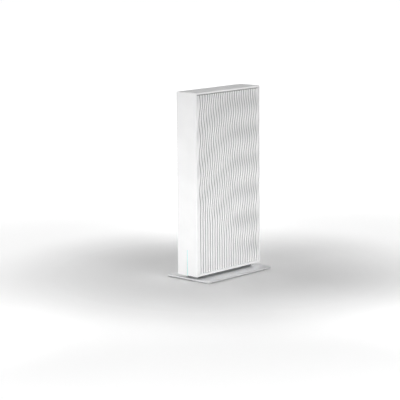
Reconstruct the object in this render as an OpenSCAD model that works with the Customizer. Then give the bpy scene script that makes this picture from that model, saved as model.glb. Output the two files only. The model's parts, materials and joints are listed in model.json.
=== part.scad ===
// Upright slab-shaped wireless router on a flat metal stand.
// Frame: +Z up, front face towards -Y, ports towards +Y, origin on the floor under the middle.
// Heights inside the casing are measured from the casing's underside (see in_casing).

/* [Casing] */
// Width of the casing across both side panels
body_w = 26; // [26:0.5:30]
// Depth of the casing from front face to rear face
body_d = 96; // [96:1:104]
// Height of the casing
body_h = 182; // [182:1:200]
// Radius of the casing's outer edges
edge_r = 0.6; // [0.4:0.1:1.2]
// Wall around the side panels
rim = 1.8; // [1.6:0.1:2.2]
// Thickness of the bottom wall below the side panels
floor_t = 2.4; // [2.2:0.1:2.6]
// Step inside the rim that a side panel rests on
ledge = 1.4; // [1.2:0.1:1.6]

/* [Side panels] */
// Thickness of a side panel with its ribs
panel_t = 2.2; // [2:0.1:2.4]
// How far the rib tops lie below the rim
panel_recess = 0.3; // [0.1:0.1:0.4]
// Gap around a side panel
panel_gap = 0.1; // [0.05:0.05:0.2]
// Ribs on each side panel
rib_count = 26; // [20:1:26]
// Distance from the front edge to the first full groove
first_groove = 6.5; // [6.2:0.1:6.8]
// Distance from one groove to the next
rib_pitch = 3.48; // [3.2:0.02:3.5]
// Width of a groove between two ribs
groove_w = 1.5; // [0.9:0.1:1.6]
// Depth of a groove
groove_depth = 1.1; // [0.6:0.1:1.2]
// Height of the open strip between the rib ends and the top rim
top_strip = 0.8; // [0.4:0.1:1.2]
// How far a rib sways to each side
wave_size = 1.1; // [0:0.1:1.2]
// Length of one wave towards the rear edge
wave_length = 30; // [24:1:40]

/* [Stand] */
// Width of the stand's plate
plate_w = 56; // [50:1:70]
// Depth of the stand's plate
plate_d = 95; // [90:1:96]
// Thickness of the stand's plate
plate_t = 1.6; // [1.5:0.1:2.5]
// Open height between the plate and the casing
gap_h = 2.5; // [2:0.1:4]
// Height of the rubber feet below the plate
foot_h = 0.8; // [0.5:0.1:1.5]
// Diameter of a rubber foot
foot_d = 10; // [8:1:12]
// Width of the neck between plate and casing
neck_w = 14; // [12:1:14]
// Depth of the neck
neck_d = 84; // [76:1:86]

/* [Ports] */
// Spacing of the network sockets
port_pitch = 13.97; // [13.9:0.01:14.2]
// Height of the middle of the row of network sockets
ports_h = 70.4; // [70:0.1:74]
// Width of a network socket's mouth
port_w = 11.7; // [11.6:0.1:11.8]
// Height of the power inlet
inlet_h = 28.4; // [28:0.1:29]
// Diameter of the power inlet's hole
inlet_d = 6.3; // [5.5:0.1:6.5]
// Diameter of the power inlet's centre pin
inlet_pin_d = 2; // [1.3:0.1:2.1]

/* [Pairing button] */
// Diameter of the button's cap
button_d = 5.2; // [4:0.1:5.4]
// Height of the button
button_h = 12.7; // [12.5:0.1:13]
// How far the button goes in
button_travel = 0.5; // [0.3:0.1:0.6]

/* [Light] */
// Width of the light slit in the front face
slit_w = 1.2; // [1:0.1:2]
// Height of the light slit, from the casing's underside
slit_h = 26; // [20:1:30]

/* [Hidden] */
$fn = 48;

// Casing
body_z = foot_h + plate_t + gap_h;
rear_y = body_d / 2;
front_y = -rear_y;
seat_x = body_w / 2 - panel_recess - panel_t;
inner_wall = rim + ledge;
inner_y = rear_y - inner_wall;
inner_floor = floor_t + ledge;
inner_top = body_h - inner_wall;
past = 1;

// Side panels
panel_d = body_d - 2 * (rim + panel_gap);
panel_z = [floor_t + panel_gap, body_h - rim - panel_gap];
wave_steps = 30;
last_groove = first_groove + (rib_count - 2) * rib_pitch;
front_rib_w = 2.5;
front_rib_gain = 1.4;
rear_rib_w = 0.9;
rear_rib_gain = 2;
hook_w = 8;
hook_reach = 2.2;
hook_t = 1.1;
hook_nub = 0.45;
hook_gap = 0.1;
front_hooks = [20, 90, 160];
rear_hooks = [16, 108, 160];
end_hooks = [-26, 26];

// Stand fasteners
stand_screw_y = 30;
stand_boss_d = 7;
stand_boss_h = 11;
stand_bore_d = 2.6;
stand_bore_h = 9.4;
stand_hole_d = 3.4;
stand_head_d = 5.8;
stand_head_h = 1.4;
vent_count = 9;
vent_pitch = 9;
vent_size = [2.2, 6];
vent_x = 9.1;

// Main board and what holds it
board_x = 3.7;
board_t = 1.6;
board_y = [front_y + 6, rear_y - 4.4];
board_z = [8, 150];
lug_w = 8;
lug_x = -3;
lug_bore_d = 2.2;
lug_bore_depth = 5;
wall_lug_h = 142;
wall_lug_y = 5;
floor_lugs = [-18, 16];
floor_lug_h = 14;
floor_screw_h = 11;
board_hole_d = 3;
board_screws_at = [
    [inner_y - wall_lug_y, wall_lug_h], [-inner_y + wall_lug_y, wall_lug_h],
    [floor_lugs[0], floor_screw_h], [floor_lugs[1], floor_screw_h]
];

// Heat path: chips, pads and heatsink on the board's component side
sink_y = [-36, 10];
sink_z = [60, 132];
sink_base = [-0.5, 1.7];
fin_x = -8.6;
fin_t = 1;
fin_pitch = 3.2;
sink_pins_at = [[-32.5, 127], [6.5, 65]];
sink_pin_d = 3;
processor_at = [-8, 75];
processor_size = [17, 17];
shield_y = [[-33, -11], [-8, 9]];
shield_z = [94, 120];
shield_h = 1.5;
shield_wall = 0.25;

// Network jack: four sockets in one housing
port_count = 4;
jack_x = [board_x - 13.4, board_x];
jack_y = [rear_y - 18.3, rear_y - 1.6];
jack_h = 57.6;
jack_z = [ports_h - jack_h / 2, ports_h + jack_h / 2];
bezel_y = [rear_y - 1.6, rear_y - 0.4];
window_gap = 0.1;
port_x = [-6.2, 2.4];
port_back_y = rear_y - 14.5;
port_steps = [[-7.8, 3.2], [-9.2, 1.75]];
block_x = [0.4, 2.4];
block_w = 8.6;
contact_count = 8;
contact_pitch = 1.02;
contact_w = 0.45;

// Power inlet
inlet_x = -2.8;
inlet_box_x = [board_x - 11, board_x];
inlet_box_h = 9.4;
inlet_y = [rear_y - 14.7, rear_y - 0.4];
sleeve_d = inlet_d + 1.1;
sleeve_y = [rear_y - 11.5, rear_y - 0.8];
bore_back_y = rear_y - 12.8;

// Pairing button and its switch
button_x = -3.3;
button_face_y = rear_y - 0.3;
button_hole_d = button_d + 0.6;
keeper_d = 7.4;
keeper_y = [inner_y - 1.4, inner_y - 0.4];
stem_d = 3;
plunger_d = 3.3;
plunger_y = [rear_y - 8.4, rear_y - 5.7];
plunger_bore_d = 3.4;
plunger_bore_y = plunger_y[0] - button_travel - 0.3;
switch_x = [button_x - 3.1, board_x];
switch_y = [rear_y - 10.8, rear_y - 6.6];

// Light guide
guide_gap = 0.05;
guide_flange = [-2.4, 4.6];
guide_y = [front_y + 3.3, front_y + 4.8];
leds_at = [11, 17, 23];

// Antennas above the board
antenna_x = 7.6;
antenna_t = 0.8;
antenna_y = [8, 40];
antenna_z = [154, 176];
bracket_y = [16, 34];
connector_h = 136;
connector_ys = [-31, -24, -5, 3];
cable_d = 1.2;
cable_rings = 13;

// Printed marks on the rear face
mark_t = 0.2;
wan_mark = [[5.2, 7.7], [83.7, 98.7]];
lan_mark = [[4.7, 8.3], [43, 81.2]];
power_mark_x = -10.5;
pair_mark_x = -9.8;

// A box from two corners, given as its spans along X, Y and Z
module span(x, y, z) {
    translate([x[0], y[0], z[0]]) cube([x[1] - x[0], y[1] - y[0], z[1] - z[0]]);
}

// Heights inside the casing start at its underside
module in_casing() {
    translate([0, 0, body_z]) children();
}

// A cylinder along Y between two depths
module rod_y(x, z, d, y) {
    translate([x, y[1], z]) rotate([90, 0, 0]) cylinder(d = d, h = y[1] - y[0]);
}

// A cylinder along X between two widths
module rod_x(y, z, d, x) {
    translate([x[0], y, z]) rotate([0, 90, 0]) cylinder(d = d, h = x[1] - x[0]);
}

module round_rect(size, r) {
    square([size[0] - 2 * r, size[1]], center = true);
    square([size[0], size[1] - 2 * r], center = true);
    for (sx = [-1, 1], sy = [-1, 1])
        translate([sx * (size[0] / 2 - r), sy * (size[1] / 2 - r)]) circle(r);
}

// A block standing on z = 0 with every edge rounded
module rounded_block(size, r) {
    translate([0, 0, size[2] / 2]) intersection() {
        linear_extrude(size[2], center = true) round_rect([size[0], size[1]], r);
        rotate([90, 0, 90]) linear_extrude(size[0] + 2, center = true) round_rect([size[1], size[2]], r);
        rotate([90, 0, 0]) linear_extrude(size[1] + 2, center = true) round_rect([size[0], size[2]], r);
    }
}

// The wave of the ribs: u is the distance from the front edge, t the distance down from the top.
// It is even towards the rear, leans and lengthens towards the front, and dies out in the lower front.
function limit(value) = min(1, max(0, value));
function smooth(value) = limit(value) * limit(value) * (3 - 2 * limit(value));
function lean(u) = limit(1 - u / 56);
function first_crest(u) = 22 + 29 * pow(lean(u), 1.6);
function local_length(u) = wave_length * (1 + lean(u) * (2 - lean(u)) / 6);
function calm(u, t) = 1 - smooth((t - 85 - 0.85 * u) / 45);
function sway(u, t) = wave_size * calm(u, t) * cos(360 * (t - first_crest(u)) / local_length(u));
function wave_z(step) = panel_z[0] - past + (panel_z[1] - panel_z[0] + 2 * past) * step / wave_steps;
function wave_line(u, offset, side, gain = 1) = [
    for (step = [0:wave_steps])
        [front_y + u + offset + side * gain * sway(u, body_h - wave_z(step)), wave_z(step)]
];
function backwards(list) = [for (i = [len(list) - 1:-1:0]) list[i]];

// Outlines of the grooves between the ribs, and of the open strips along the front and rear rims.
// The strips sway further than the grooves, so the front one closes and the last rib breaks off in places.
module groove_outlines(side) {
    ends = [wave_z(0), wave_z(wave_steps)];
    for (i = [0:rib_count - 2])
        polygon(concat(
            wave_line(first_groove + i * rib_pitch, -groove_w / 2, side),
            backwards(wave_line(first_groove + i * rib_pitch, groove_w / 2, side))
        ));
    polygon(concat(
        [[front_y, ends[1]], [front_y, ends[0]]],
        wave_line(first_groove, -groove_w / 2 - front_rib_w, side, front_rib_gain)
    ));
    polygon(concat(
        [[rear_y, ends[1]], [rear_y, ends[0]]],
        wave_line(last_groove, groove_w / 2 + rear_rib_w, side, rear_rib_gain)
    ));
}

// Snap hook standing on a panel's back at a wall that lies towards +Y
module hook_y(z) {
    y = inner_y - hook_gap;
    span([seat_x - hook_reach, seat_x + 0.5], [y - hook_t, y], [z - hook_w / 2, z + hook_w / 2]);
    span([seat_x - hook_reach, seat_x - hook_reach + 1], [y - hook_t, y + hook_nub],
        [z - hook_w / 2, z + hook_w / 2]);
}

// Snap hook at the top wall
module hook_top(y) {
    z = inner_top - hook_gap;
    span([seat_x - hook_reach, seat_x + 0.5], [y - hook_w / 2, y + hook_w / 2], [z - hook_t, z]);
    span([seat_x - hook_reach, seat_x - hook_reach + 1], [y - hook_w / 2, y + hook_w / 2],
        [z - hook_t, z + hook_nub]);
}

// One side panel as it lies on the +X side; the wave runs the other way on the -X side
module side_panel(side) {
    difference() {
        span([seat_x, seat_x + panel_t], [-panel_d / 2, panel_d / 2], panel_z);
        translate([seat_x + panel_t - groove_depth, 0, 0])
            rotate([90, 0, 90]) linear_extrude(groove_depth + past) groove_outlines(side);
        span([seat_x + panel_t - groove_depth, seat_x + panel_t + past], [front_y, rear_y],
            [panel_z[1] - top_strip, panel_z[1] + past]);
    }
    for (z = rear_hooks) hook_y(z);
    for (z = front_hooks) mirror([0, 1, 0]) hook_y(z);
    for (y = end_hooks) hook_top(y);
}

// Pockets in the frame that the hooks snap into
module hook_pockets() {
    x = [seat_x - hook_reach - 0.15, seat_x - hook_reach + 1.15];
    half = hook_w / 2 + 0.3;
    for (z = rear_hooks) span(x, [inner_y - past, inner_y + 0.5], [z - half, z + half]);
    for (z = front_hooks) span(x, [-inner_y - 0.5, -inner_y + past], [z - half, z + half]);
    for (y = end_hooks) span(x, [y - half, y + half], [inner_top - past, inner_top + 0.5]);
}

module frame_ring() {
    difference() {
        rounded_block([body_w, body_d, body_h], edge_r);
        span([-body_w, body_w], [-inner_y, inner_y], [inner_floor, inner_top]);
        for (side = [0, 1]) mirror([side, 0, 0])
            span([seat_x, body_w], [front_y + rim, rear_y - rim], [floor_t, body_h - rim]);
    }
}

// Lugs that the main board is screwed to, and bosses for the stand's screws
module lugs_and_bosses() {
    for (side = [0, 1]) mirror([0, side, 0])
        span([lug_x, board_x], [inner_y - wall_lug_y - lug_w / 2, inner_y + 0.5],
            [wall_lug_h - lug_w / 2, wall_lug_h + lug_w / 2]);
    for (y = floor_lugs)
        span([lug_x, board_x], [y - lug_w / 2, y + lug_w / 2], [inner_floor - 0.5, floor_lug_h]);
    for (side = [-1, 1])
        translate([0, side * stand_screw_y, 1]) cylinder(d = stand_boss_d, h = stand_boss_h - 1);
}

module rear_windows() {
    through = [inner_y - past, rear_y + past];
    span([jack_x[0] - window_gap, jack_x[1] + window_gap], through,
        [jack_z[0] - window_gap, jack_z[1] + window_gap]);
    span([inlet_box_x[0] - window_gap, inlet_box_x[1] + window_gap], through,
        [inlet_h - inlet_box_h / 2 - window_gap, inlet_h + inlet_box_h / 2 + window_gap]);
    rod_y(button_x, button_h, button_hole_d, through);
}

module mark_outlines() {
    wan_mark_shape();
    lan_mark_shape();
    power_mark_shape();
    pair_mark_shape();
}

module frame_shell() {
    color("white") in_casing() difference() {
        union() {
            frame_ring();
            lugs_and_bosses();
        }
        rear_windows();
        for (side = [0, 1]) mirror([side, 0, 0]) hook_pockets();
        // light slit, open at the underside
        span([-slit_w / 2, slit_w / 2], [front_y - past, guide_y[0] - 0.1], [-past, slit_h]);
        for (at = board_screws_at)
            rod_x(at[0], at[1], lug_bore_d, [board_x - lug_bore_depth, board_x + past]);
        for (side = [-1, 1])
            translate([0, side * stand_screw_y, -past]) cylinder(d = stand_bore_d, h = stand_bore_h + past);
        // air inlets in the bottom wall, on both sides of the neck
        for (side = [-1, 1], i = [0:vent_count - 1])
            translate([side * vent_x, (i - (vent_count - 1) / 2) * vent_pitch, 0])
                cube([vent_size[0], vent_size[1], 3 * inner_floor], center = true);
        mark_pocket() mark_outlines();
    }
}

module right_side_panel() {
    color("white") in_casing() side_panel(1);
}

module left_side_panel() {
    color("white") in_casing() mirror([1, 0, 0]) side_panel(-1);
}

module stand_neck() {
    color("dimgray") translate([0, 0, foot_h + plate_t]) difference() {
        linear_extrude(gap_h) round_rect([neck_w, neck_d], 3);
        for (side = [-1, 1])
            translate([0, side * stand_screw_y, -past]) cylinder(d = stand_hole_d, h = gap_h + 2 * past);
    }
}

module base_plate() {
    color("lightsteelblue") translate([0, 0, foot_h]) difference() {
        linear_extrude(plate_t) round_rect([plate_w, plate_d], 1.5);
        for (side = [-1, 1]) translate([0, side * stand_screw_y, 0]) {
            translate([0, 0, -past]) cylinder(d = stand_hole_d, h = plate_t + 2 * past);
            translate([0, 0, -0.01])
                cylinder(d1 = stand_head_d + 0.2, d2 = stand_hole_d, h = stand_head_h);
        }
    }
}

module rubber_feet() {
    color("dimgray") for (sx = [-1, 1], sy = [-1, 1])
        translate([sx * (plate_w / 2 - 7), sy * (plate_d / 2 - 9), 0]) cylinder(d = foot_d, h = foot_h);
}

module base_screws() {
    shank_d = stand_bore_d - 0.1;
    color("silver") for (side = [-1, 1]) translate([0, side * stand_screw_y, foot_h]) difference() {
        union() {
            cylinder(d1 = stand_head_d - 0.2, d2 = shank_d, h = stand_head_h);
            cylinder(d = shank_d, h = plate_t + gap_h + stand_bore_h - 1);
        }
        // cross recess
        for (turn = [0, 90]) rotate(turn) translate([0, 0, 0.2]) cube([2.6, 0.6, 1.2], center = true);
    }
}

module rating_label() {
    color("whitesmoke") translate([0, 0, foot_h - 0.1]) linear_extrude(0.1) round_rect([30, 44], 2);
}

module led_light_guide() {
    color("lightcyan") in_casing() {
        span([-slit_w / 2 + guide_gap, slit_w / 2 - guide_gap], [front_y + 0.1, guide_y[0] + 0.5],
            [inner_floor + 0.2, slit_h - guide_gap]);
        span([-slit_w / 2 + guide_gap, slit_w / 2 - guide_gap], [front_y + 0.1, guide_y[0] - 0.2],
            [0.2, inner_floor + 1]);
        span(guide_flange, guide_y, [inner_floor + 0.2, slit_h + 2]);
    }
}

module status_leds() {
    color("white") in_casing() for (h = leds_at) difference() {
        span([board_x - 1.1, board_x], [board_y[0] - 0.6, board_y[0] + 0.8], [h - 1.4, h + 1.4]);
        span([board_x - 0.9, board_x - 0.3], [board_y[0] - 0.8, board_y[0] - 0.4], [h - 1, h + 1]);
    }
}

module main_board() {
    color("seagreen") in_casing() difference() {
        span([board_x, board_x + board_t], board_y, board_z);
        for (at = board_screws_at)
            rod_x(at[0], at[1], board_hole_d, [board_x - past, board_x + board_t + past]);
        for (at = sink_pins_at)
            rod_x(at[0], at[1], sink_pin_d + 0.2, [board_x - past, board_x + board_t + past]);
    }
}

module board_screws() {
    face = board_x + board_t;
    color("silver") in_casing() for (at = board_screws_at) difference() {
        union() {
            rod_x(at[0], at[1], lug_bore_d - 0.1, [board_x - lug_bore_depth + 0.6, face + 0.5]);
            rod_x(at[0], at[1], 5, [face, face + 1.7]);
        }
        for (turn = [0, 90]) translate([face + 1.6, at[0], at[1]]) rotate([turn, 0, 0])
            cube([1.2, 2.4, 0.6], center = true);
    }
}

// A flat package on the board's component side, centred at [y, z]
module package(at, size, h) {
    span([board_x - h, board_x], [at[0] - size[0] / 2, at[0] + size[0] / 2],
        [at[1] - size[1] / 2, at[1] + size[1] / 2]);
}

module main_processor() {
    color("dimgray") in_casing() package(processor_at, processor_size, 1.4);
}

module memory_chips() {
    color("black") in_casing() {
        for (h = [68, 84]) package([-26, h], [9, 13], 1.1);
        package([-8, 50], [8, 6], 1);
    }
}

module ethernet_switch_chip() {
    color("black") in_casing() package([19, 112], [12, 12], 1);
}

module radio_chips() {
    color("black") in_casing() for (y = shield_y)
        package([(y[0] + y[1]) / 2, (shield_z[0] + shield_z[1]) / 2], [7, 7], 0.9);
}

module radio_shields() {
    color("silver") in_casing() for (y = shield_y) difference() {
        span([board_x - shield_h, board_x], y, shield_z);
        span([board_x - shield_h + shield_wall, board_x + past],
            [y[0] + shield_wall, y[1] - shield_wall], [shield_z[0] + shield_wall, shield_z[1] - shield_wall]);
    }
}

module thermal_pads() {
    color("skyblue") in_casing() {
        translate([-1.4, 0, 0]) package(processor_at, [16, 16], 0.6);
        for (y = shield_y)
            span([sink_base[1], board_x - shield_h], [y[0] + 2, y[1] - 2], [shield_z[0] + 3, shield_z[1] - 3]);
        span([board_x + board_t, board_x + board_t + 1.2], [-20, 4], [63, 87]);
    }
}

module heatsink() {
    color("silver") in_casing() difference() {
        translate([0, 0, sink_z[0]]) linear_extrude(sink_z[1] - sink_z[0]) {
            translate([sink_base[0], sink_y[0]])
                square([sink_base[1] - sink_base[0], sink_y[1] - sink_y[0]]);
            for (y = [sink_y[0]:fin_pitch:sink_y[1] - fin_t])
                translate([fin_x, y]) square([sink_base[0] - fin_x + 0.5, fin_t]);
        }
        for (at = sink_pins_at) {
            rod_x(at[0], at[1], sink_pin_d + 0.2, [sink_base[0] - past, sink_base[1] + past]);
            rod_x(at[0], at[1], 7, [fin_x - past, sink_base[0]]);
        }
    }
}

module heatsink_pins() {
    color("white") in_casing() for (at = sink_pins_at) {
        rod_x(at[0], at[1], sink_pin_d, [sink_base[0] - 0.5, board_x + board_t + 1]);
        rod_x(at[0], at[1], 6, [sink_base[0] - 1.6, sink_base[0]]);
    }
}

module rear_heat_spreader() {
    x = board_x + board_t + 1.2;
    color("silver") in_casing() translate([x, -12, 92]) rotate([90, 0, 90])
        linear_extrude(1.2) round_rect([36, 56], 3);
}

module lan_transformers() {
    color("black") in_casing() for (h = [56, 85]) difference() {
        package([19, h], [14, 24], 5.9);
        translate([board_x - 5.9, 19 - 5.5, h + 10]) rotate([0, 90, 0]) cylinder(d = 1.4, h = 0.6, center = true);
    }
}

module power_inductors() {
    color("dimgray") in_casing() for (h = [25, 35]) {
        package([9, h], [7.3, 7.3], 0.6);
        rod_x(9, h, 6.8, [board_x - 4, board_x - 0.5]);
    }
}

module capacitors() {
    color("silver") in_casing() for (h = [21, 30]) {
        package([25, h], [6.6, 6.6], 0.8);
        rod_x(25, h, 6.3, [board_x - 6.5, board_x - 0.7]);
    }
}

// Height of the middle of each network socket
function port_h(i) = ports_h + (i - (port_count - 1) / 2) * port_pitch;

// Outline of one socket, seen along Y: the plug's room and the two steps for its latch
module port_outline() {
    translate([port_x[0], -port_w / 2]) square([port_x[1] - port_x[0], port_w]);
    for (step = port_steps)
        translate([step[0], -step[1]]) square([port_x[0] - step[0] + 0.5, 2 * step[1]]);
}

module port_cavities(y) {
    for (i = [0:port_count - 1])
        translate([0, y[1], port_h(i)]) rotate([90, 0, 0]) linear_extrude(y[1] - y[0]) port_outline();
}

module ethernet_jack_housing() {
    color("dimgray") in_casing() difference() {
        span(jack_x, jack_y, jack_z);
        port_cavities([port_back_y, jack_y[1] + past]);
    }
}

module ethernet_jack_bezel() {
    color("white") in_casing() difference() {
        span(jack_x, bezel_y, jack_z);
        port_cavities([bezel_y[0] - past, bezel_y[1] + past]);
    }
}

module ethernet_contact_blocks() {
    color("white") in_casing() for (i = [0:port_count - 1])
        span(block_x, [port_back_y + 0.5, bezel_y[1] - 0.5],
            [port_h(i) - block_w / 2, port_h(i) + block_w / 2]);
}

// One spring wire, from its root at the mouth to its free end in the socket
module contact_wire() {
    x = block_x[0];
    y = rear_y - 3;
    linear_extrude(contact_w, center = true) polygon([
        [x, y], [x - 1.5, y - 6], [x - 0.9, y - 8], [x - 0.55, y - 8], [x - 1.1, y - 6.1], [x, y - 1.2]
    ]);
}

module ethernet_contacts() {
    color("gold") in_casing() for (i = [0:port_count - 1], pin = [0:contact_count - 1])
        translate([0, 0, port_h(i) + (pin - (contact_count - 1) / 2) * contact_pitch]) contact_wire();
}

module dc_jack_housing() {
    color("white") in_casing() difference() {
        span(inlet_box_x, inlet_y, [inlet_h - inlet_box_h / 2, inlet_h + inlet_box_h / 2]);
        rod_y(inlet_x, inlet_h, sleeve_d, [bore_back_y, inlet_y[1] + past]);
    }
}

module dc_jack_sleeve() {
    color("black") in_casing() difference() {
        rod_y(inlet_x, inlet_h, sleeve_d, sleeve_y);
        rod_y(inlet_x, inlet_h, inlet_d, [sleeve_y[0] - past, sleeve_y[1] + past]);
        // window for the spring contact
        span([inlet_x + inlet_d / 2 - 0.5, inlet_x + sleeve_d], [sleeve_y[0] - past, sleeve_y[1] - 3],
            [inlet_h - 1.3, inlet_h + 1.3]);
    }
}

module dc_jack_pin() {
    color("gold") in_casing() translate([inlet_x, bore_back_y, inlet_h]) rotate([-90, 0, 0]) {
        cylinder(d = sleeve_d - 0.2, h = 1.2);
        cylinder(d = inlet_pin_d, h = 10.2);
        translate([0, 0, 10.2]) sphere(d = inlet_pin_d);
    }
}

module dc_jack_spring() {
    color("silver") in_casing()
        span([inlet_x + inlet_d / 2 - 0.05, inlet_x + inlet_d / 2 + 0.3], [sleeve_y[0] + 0.1, sleeve_y[1] - 3.3],
            [inlet_h - 1, inlet_h + 1]);
}

module pair_button_cap() {
    color("white") in_casing() difference() {
        union() {
            rod_y(button_x, button_h, button_d, [keeper_y[0], button_face_y]);
            rod_y(button_x, button_h, keeper_d, keeper_y);
            rod_y(button_x, button_h, stem_d, [plunger_y[1], keeper_y[1]]);
        }
        // shallow dish in the face
        translate([button_x, button_face_y + 9.7, button_h]) sphere(r = 10);
    }
}

module pair_switch_plunger() {
    color("black") in_casing() rod_y(button_x, button_h, plunger_d, plunger_y);
}

module pair_switch_body() {
    color("dimgray") in_casing() difference() {
        span(switch_x, switch_y, [button_h - 3.1, button_h + 3.1]);
        rod_y(button_x, button_h, plunger_bore_d, [plunger_bore_y, switch_y[1] + past]);
    }
}

// One antenna board with the slot that forms its radiating arm
module antenna_board() {
    translate([antenna_x, 0, 0]) rotate([90, 0, 90]) linear_extrude(antenna_t) difference() {
        translate([antenna_y[0], antenna_z[0]])
            square([antenna_y[1] - antenna_y[0], antenna_z[1] - antenna_z[0]]);
        translate([antenna_y[0] + 5, antenna_z[0] + 15]) square([28, 1.5]);
        translate([antenna_y[0] + 5, antenna_z[0] + 8]) square([1.5, 8]);
    }
}

module antennas() {
    color("darkgreen") in_casing() for (sx = [0, 1], sy = [0, 1])
        mirror([sx, 0, 0]) mirror([0, sy, 0]) antenna_board();
}

module antenna_brackets() {
    color("gainsboro") in_casing() for (sy = [0, 1]) mirror([0, sy, 0]) {
        span([-antenna_x, antenna_x], bracket_y, [172, 174]);
        span([-4, 4], bracket_y, [173, inner_top]);
        for (sx = [0, 1]) mirror([sx, 0, 0])
            span([antenna_x - 1.2, antenna_x], bracket_y, [156, 173]);
    }
}

module antenna_connectors() {
    color("gold") in_casing() for (y = connector_ys) rod_x(y, connector_h, 2.4, [board_x - 1.4, board_x]);
}

// Cable route from a connector on the board, over the board's top edge, to an antenna
function cable_start(y) = [board_x - 1.4 - cable_d / 2, y, connector_h];
function cable_end(sx, sy) = [sx * (antenna_x - cable_d / 2), sy * 11.5, 159];
function curve(a, b, c, d, t) =
    a * pow(1 - t, 3) + b * 3 * t * pow(1 - t, 2) + c * 3 * t * t * (1 - t) + d * pow(t, 3);
function cable_route(start, end) = [
    for (i = [0:cable_rings - 1])
        curve(start, start + [-2.5, 0, 14], end + [-3 * sign(end[0]) - 1, 0, -9], end, i / (cable_rings - 1))
];
function unit(v) = v / norm(v);
function heading(path, i) = unit(path[min(i + 1, len(path) - 1)] - path[max(i - 1, 0)]);

// A round cable along a path, as rings of eight points
module cable(path) {
    sides = 8;
    across = [for (i = [0:len(path) - 1]) unit(cross(heading(path, i), [1, 0.3, 0]))];
    points = [
        for (i = [0:len(path) - 1], k = [0:sides - 1])
            path[i] + cable_d / 2 * (
                across[i] * cos(360 * k / sides) + cross(heading(path, i), across[i]) * sin(360 * k / sides)
            )
    ];
    walls = [
        for (i = [0:len(path) - 2], k = [0:sides - 1])
            [i * sides + k, i * sides + (k + 1) % sides, (i + 1) * sides + (k + 1) % sides, (i + 1) * sides + k]
    ];
    ends = [
        [for (k = [sides - 1:-1:0]) k],
        [for (k = [0:sides - 1]) (len(path) - 1) * sides + k]
    ];
    polyhedron(points, concat(walls, ends));
}

module antenna_cables() {
    color("black") in_casing() {
        cable(cable_route(cable_start(connector_ys[0]), cable_end(-1, -1)));
        cable(cable_route(cable_start(connector_ys[1]), cable_end(1, -1)));
        cable(cable_route(cable_start(connector_ys[2]), cable_end(-1, 1)));
        cable(cable_route(cable_start(connector_ys[3]), cable_end(1, 1)));
    }
}

// Marks are thin inlays in the rear face, drawn here as outlines seen from behind the frame
module mark_pocket() {
    translate([0, rear_y + past, 0]) rotate([90, 0, 0]) linear_extrude(mark_t + past) children();
}

module mark() {
    color("silver") in_casing()
        translate([0, rear_y, 0]) rotate([90, 0, 0]) linear_extrude(mark_t) children();
}

module bar_shape(spans) {
    translate([spans[0][0], spans[1][0]])
        square([spans[0][1] - spans[0][0], spans[1][1] - spans[1][0]]);
}

module wan_mark_shape() {
    bar_shape(wan_mark);
}

module lan_mark_shape() {
    bar_shape(lan_mark);
}

// A long dash over three short ones
module power_mark_shape() {
    translate([power_mark_x - 1.5, inlet_h + 0.3]) square([3, 0.4]);
    for (x = [-1.5, -0.35, 0.8])
        translate([power_mark_x + x, inlet_h - 0.5]) square([0.7, 0.4]);
}

// A ring around a dot
module pair_mark_shape() {
    translate([pair_mark_x, button_h]) {
        difference() {
            circle(d = 2.4);
            circle(d = 1.7);
        }
        circle(d = 0.8);
    }
}

module wan_port_label() {
    mark() wan_mark_shape();
}

module lan_port_label() {
    mark() lan_mark_shape();
}

module power_symbol() {
    mark() power_mark_shape();
}

module pair_symbol() {
    mark() pair_mark_shape();
}

frame_shell();
right_side_panel();
left_side_panel();
stand_neck();
base_plate();
rubber_feet();
base_screws();
rating_label();
led_light_guide();
status_leds();
main_board();
board_screws();
main_processor();
memory_chips();
ethernet_switch_chip();
radio_chips();
radio_shields();
thermal_pads();
heatsink();
heatsink_pins();
rear_heat_spreader();
lan_transformers();
power_inductors();
capacitors();
ethernet_jack_housing();
ethernet_jack_bezel();
ethernet_contact_blocks();
ethernet_contacts();
dc_jack_housing();
dc_jack_sleeve();
dc_jack_pin();
dc_jack_spring();
pair_button_cap();
pair_switch_plunger();
pair_switch_body();
antennas();
antenna_brackets();
antenna_connectors();
antenna_cables();
wan_port_label();
lan_port_label();
power_symbol();
pair_symbol();
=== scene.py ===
"""Looks of an upright wireless router on a flat metal stand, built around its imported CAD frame.

Metres, +Z up, front face towards -Y, sockets towards +Y.
"""
import json
import math

import bmesh
import bpy
from mathutils import Matrix, Vector


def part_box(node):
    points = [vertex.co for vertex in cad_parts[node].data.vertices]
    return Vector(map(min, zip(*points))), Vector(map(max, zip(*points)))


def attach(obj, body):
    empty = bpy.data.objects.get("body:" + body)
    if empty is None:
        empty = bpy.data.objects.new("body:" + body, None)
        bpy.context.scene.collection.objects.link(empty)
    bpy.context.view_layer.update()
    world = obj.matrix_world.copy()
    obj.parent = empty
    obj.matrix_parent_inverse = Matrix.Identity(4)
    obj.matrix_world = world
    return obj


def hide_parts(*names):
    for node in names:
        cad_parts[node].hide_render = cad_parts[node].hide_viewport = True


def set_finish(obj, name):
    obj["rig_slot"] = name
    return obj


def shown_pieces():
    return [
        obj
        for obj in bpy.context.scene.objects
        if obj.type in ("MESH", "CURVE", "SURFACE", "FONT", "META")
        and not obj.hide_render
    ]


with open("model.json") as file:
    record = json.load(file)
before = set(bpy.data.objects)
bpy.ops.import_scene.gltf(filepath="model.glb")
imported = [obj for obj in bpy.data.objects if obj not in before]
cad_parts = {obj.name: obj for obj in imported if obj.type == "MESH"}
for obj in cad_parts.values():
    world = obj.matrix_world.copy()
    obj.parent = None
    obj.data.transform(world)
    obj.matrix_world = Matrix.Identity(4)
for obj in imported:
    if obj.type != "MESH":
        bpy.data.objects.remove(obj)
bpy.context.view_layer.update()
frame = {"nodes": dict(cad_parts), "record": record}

MM = 0.001

# ---------------------------------------------------------------- places, all from the frame

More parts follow.
